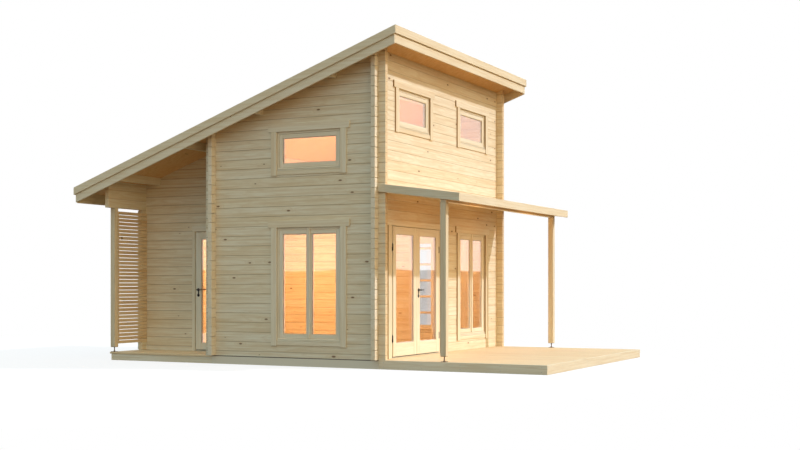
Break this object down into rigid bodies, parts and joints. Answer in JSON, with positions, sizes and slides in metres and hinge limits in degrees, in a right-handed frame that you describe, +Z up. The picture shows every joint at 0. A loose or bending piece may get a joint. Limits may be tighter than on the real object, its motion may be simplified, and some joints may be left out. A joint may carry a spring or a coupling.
{
  "type": "sauna cabin",
  "caption": "Log sauna cabin with a mono-pitch roof, glazed double doors under a lean-to canopy, a front terrace and a corner porch with a slatted screen.",
  "frame": {"origin": "on the ground, under the middle of the cabin's box of roof and terrace", "axes": "+X to the right along the front wall, +Y from the terrace to the back wall, +Z up"},
  "size_m": [5.15, 7.93, 4.842],
  "materials": {
    "log_wood": "planed untreated pine logs",
    "trim_wood": "planed untreated pine boards",
    "joinery_wood": "smooth untreated pine joinery",
    "deck_wood": "planed deck boards",
    "bearer_wood": "sawn impregnated bearers",
    "roof_core": "rafters and insulation",
    "felt": "mineral roofing felt",
    "glazing": "clear double glazing",
    "black_metal": "black hinges and handles",
    "zinc_steel": "zinc plated steel"
  },
  "bodies": {
    "root": {"foundation_frame": "bearer_wood", "edge_boards": "trim_wood", "terrace_deck": "deck_wood", "porch_deck": "deck_wood", "room_floor": "deck_wood", "front_wall_left": "log_wood", "front_wall_right": "log_wood", "front_wall_upper": "log_wood", "left_gable_wall": "log_wood", "right_gable_wall": "log_wood", "cross_wall": "log_wood", "porch_wall_front": "log_wood", "porch_wall_back": "log_wood", "porch_wall_upper": "log_wood", "back_wall": "log_wood", "back_plate_logs": "log_wood", "log_ends": "log_wood", "purlins": "trim_wood", "roof_boards": "trim_wood", "roof_panel": "roof_core", "roof_felt": "felt", "gable_fascias": "trim_wood", "eaves_fascias": "trim_wood", "canopy_beams": "trim_wood", "canopy_boards": "trim_wood", "canopy_fascias": "trim_wood", "posts": "trim_wood", "post_feet": "zinc_steel", "porch_screen": "trim_wood", "window_casings": "trim_wood", "window_frames": "joinery_wood", "window_glass": "glazing", "front_door_frame": "joinery_wood", "porch_door_frame": "joinery_wood", "door_casings": "trim_wood", "hinge_seats": "black_metal", "loft_ladder": "trim_wood"},
    "front_door_left": {"left_leaf": "joinery_wood", "left_leaf_glass": "glazing", "left_leaf_hinges": "black_metal"},
    "front_door_right": {"right_leaf": "joinery_wood", "right_leaf_glass": "glazing", "right_leaf_hardware": "black_metal"},
    "porch_door": {"porch_leaf": "joinery_wood", "porch_leaf_glass": "glazing", "porch_leaf_hardware": "black_metal"}
  },
  "joints": [
    {"name": "front_door_left_swing", "type": "hinge", "parent": "root", "child": "front_door_left", "pos_m": [-1.8415, -1.424, 0.13], "axis": [0, 0, -1], "range_deg": [0, 100]},
    {"name": "front_door_right_swing", "type": "hinge", "parent": "root", "child": "front_door_right", "pos_m": [-0.2365, -1.424, 0.13], "axis": [0, 0, 1], "range_deg": [0, 100]},
    {"name": "porch_door_swing", "type": "hinge", "parent": "root", "child": "porch_door", "pos_m": [-1.444, 1.5825, 0.13], "axis": [0, 0, 1], "range_deg": [0, 84]}
  ]
}
